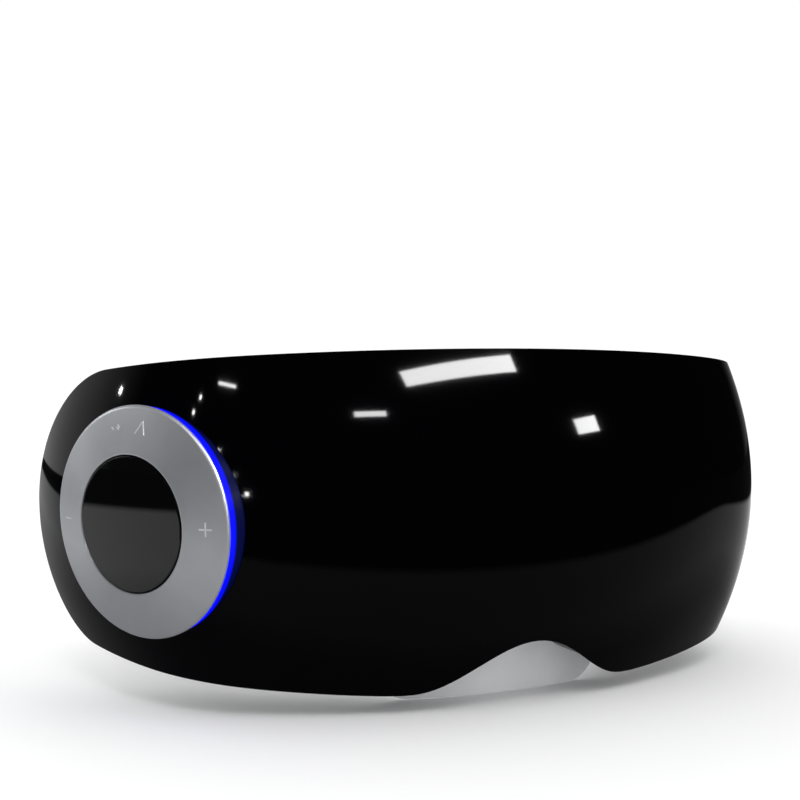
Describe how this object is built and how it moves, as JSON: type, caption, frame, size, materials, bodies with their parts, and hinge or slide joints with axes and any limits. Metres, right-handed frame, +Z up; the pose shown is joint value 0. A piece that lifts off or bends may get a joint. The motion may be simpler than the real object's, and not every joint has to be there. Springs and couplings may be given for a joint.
{
  "type": "eye massager mask",
  "caption": "Curved gloss-black eye massager visor with a metal control dial and blue light ring on one temple, a soft face cushion, massage pads and a head strap.",
  "frame": {"origin": "the point between the brows where the face cushion rests, at the height of the mask's middle", "axes": "+X towards the wearer's left, +Y into the wearer's face, +Z up; the front of the visor faces -Y"},
  "size_m": [0.202, 0.1667, 0.0862],
  "materials": {
    "gloss_black": "polished",
    "housing_grey": "fine spark texture",
    "grey_leather": "soft PU leather with fine grain",
    "flap_silicone": "smooth matte",
    "black_plastic": "satin",
    "light_guide": "frosted, lit blue",
    "circuit_board": "solder mask",
    "led": "moulded",
    "switch_plastic": "moulded",
    "white_plastic": "moulded",
    "spun_metal": "turned in circles, anodised",
    "black_glass_button": "polished",
    "screw_steel": "zinc plated",
    "air_film": "thin welded film",
    "heating_film": "polyimide film with copper traces",
    "pad_silicone": "smooth matte",
    "chip_black": "moulded",
    "battery_foil": "foil pouch",
    "port_steel": "stamped",
    "motor_steel": "drawn",
    "pump_plastic": "moulded",
    "diaphragm_rubber": "moulded",
    "valve_brass": "turned",
    "tube_silicone": "smooth, milky",
    "weight_metal": "sintered",
    "speaker_black": "paper cone in a moulded frame",
    "strap_elastic": "woven elastic"
  },
  "bodies": {
    "mask": {"front_shell": "gloss_black", "rear_housing": "housing_grey", "face_cushion": "grey_leather", "nose_flap": "flap_silicone", "dial_base": "black_plastic", "light_guide": "light_guide", "led_ring_board": "circuit_board", "dial_leds": "led", "dial_board": "circuit_board", "ring_switches": "switch_plastic", "centre_switch": "switch_plastic", "button_guide": "white_plastic", "dial_screws": "screw_steel", "left_airbag": "air_film", "right_airbag": "air_film", "main_board": "circuit_board", "board_chips": "chip_black", "battery": "battery_foil", "charging_board": "circuit_board", "usb_port": "port_steel", "pump_motor": "motor_steel", "pump_head": "pump_plastic", "pump_diaphragm": "diaphragm_rubber", "valve_body": "motor_steel", "air_tubes": "tube_silicone", "left_vibration_motor": "motor_steel", "right_vibration_motor": "motor_steel", "left_speaker": "speaker_black", "right_speaker": "speaker_black", "housing_screws": "screw_steel", "left_strap_clip": "black_plastic", "right_strap_clip": "black_plastic", "head_strap": "strap_elastic"},
    "button": {"centre_button": "black_glass_button", "switch_plunger": "black_plastic"},
    "rocker": {"tilt_ring": "black_plastic"},
    "ring": {"control_ring": "spun_metal", "ring_carrier": "black_plastic"},
    "left_pad": {"left_eye_pad": "pad_silicone", "left_heating_film": "heating_film"},
    "right_pad": {"right_eye_pad": "pad_silicone", "right_heating_film": "heating_film"},
    "left_weight": {"left_vibration_weight": "weight_metal"},
    "right_weight": {"right_vibration_weight": "weight_metal"},
    "crank": {"pump_crank": "white_plastic"},
    "valve": {"valve_plunger": "valve_brass"},
    "slider": {"strap_slider": "black_plastic"}
  },
  "joints": [
    {"name": "button_press", "type": "slide", "parent": "mask", "child": "button", "axis": [-0.869, -0.4936, -0.0349], "range_m": [-0.0004, 0], "stiffness_N_per_m": 1500},
    {"name": "ring_tilt_up_down", "type": "hinge", "parent": "mask", "child": "rocker", "pos_m": [-0.08513, 0.00568, 0.00163], "axis": [0.4939, -0.8695, 0], "range_deg": [-0.8, 0.8], "stiffness_Nm_per_rad": 1.8},
    {"name": "ring_tilt_sideways", "type": "hinge", "parent": "rocker", "child": "ring", "pos_m": [-0.08513, 0.00568, 0.00163], "axis": [-0.0303, -0.0172, 0.9994], "range_deg": [-0.8, 0.8], "stiffness_Nm_per_rad": 1.8},
    {"name": "left_pad_press", "type": "slide", "parent": "mask", "child": "left_pad", "axis": [-0.3746, 0.9272, 0], "range_m": [0, 0.006], "stiffness_N_per_m": 250},
    {"name": "right_pad_press", "type": "slide", "parent": "mask", "child": "right_pad", "axis": [0.3746, 0.9272, 0], "range_m": [0, 0.006], "stiffness_N_per_m": 250},
    {"name": "left_weight_spin", "type": "hinge", "parent": "mask", "child": "left_weight", "pos_m": [0.04239, -0.0069, 0.025], "axis": [0.9063, 0.4226, 0], "continuous": true},
    {"name": "right_weight_spin", "type": "hinge", "parent": "mask", "child": "right_weight", "pos_m": [-0.04239, -0.0069, 0.025], "axis": [0.9063, -0.4226, 0], "continuous": true},
    {"name": "pump_crank_spin", "type": "hinge", "parent": "mask", "child": "crank", "pos_m": [0.0653, -0.00269, 0.0025], "axis": [0, 0, 1], "continuous": true},
    {"name": "valve_plunger_lift", "type": "slide", "parent": "mask", "child": "valve", "axis": [0, 0, 1], "range_m": [0, 0.0012], "stiffness_N_per_m": 300},
    {"name": "strap_slider_travel", "type": "slide", "parent": "mask", "child": "slider", "axis": [-0.1392, 0.9903, 0], "range_m": [-0.01, 0.012]}
  ]
}
